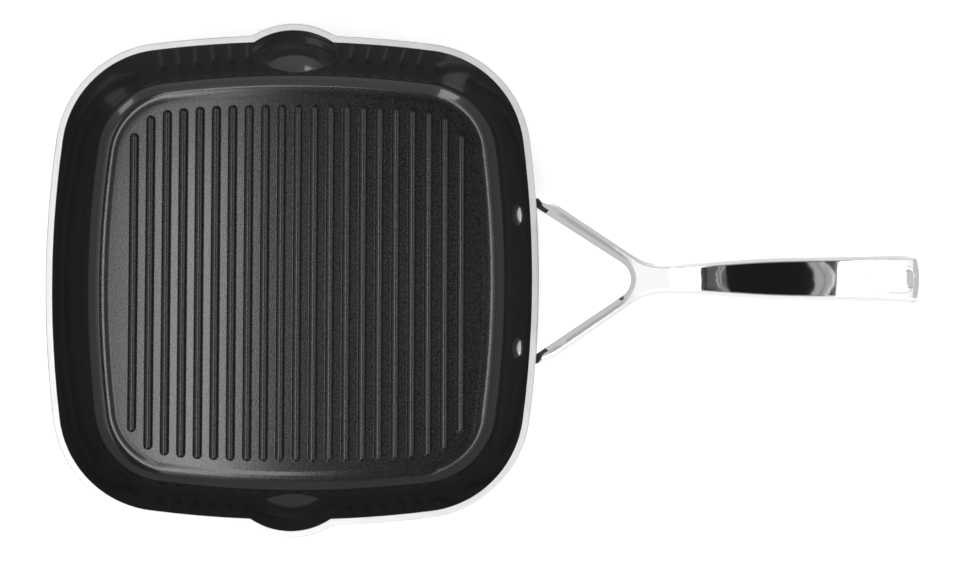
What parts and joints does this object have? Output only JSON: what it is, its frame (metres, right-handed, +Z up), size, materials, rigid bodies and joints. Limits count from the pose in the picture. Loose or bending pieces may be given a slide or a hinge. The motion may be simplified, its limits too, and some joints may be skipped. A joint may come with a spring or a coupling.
{
  "type": "grill pan",
  "caption": "Square cast grill pan with bowed sides, ribbed non-stick floor, pouring spouts on opposite sides and a raised forked metal handle with a hanging slot",
  "frame": {"origin": "centre of the pan's base, on the surface that it stands on", "axes": "+X runs from the pan's centre to the end of the handle, the pouring spouts are at +Y and -Y, +Z is up out of the pan"},
  "size_m": [0.4992, 0.2954, 0.0663],
  "materials": {
    "cast_metal": "bare ground rim, outer wall coated black",
    "lining": "satin black non-stick coating with a fine leathery texture",
    "plate_steel": "circular brushed",
    "handle_metal": "polished",
    "rivet_metal": "polished"
  },
  "bodies": {
    "root": {"pan_body": "cast_metal", "nonstick_lining": "lining", "base_plate": "plate_steel", "handle": "handle_metal", "rivet_left": "rivet_metal", "rivet_right": "rivet_metal"}
  },
  "joints": []
}
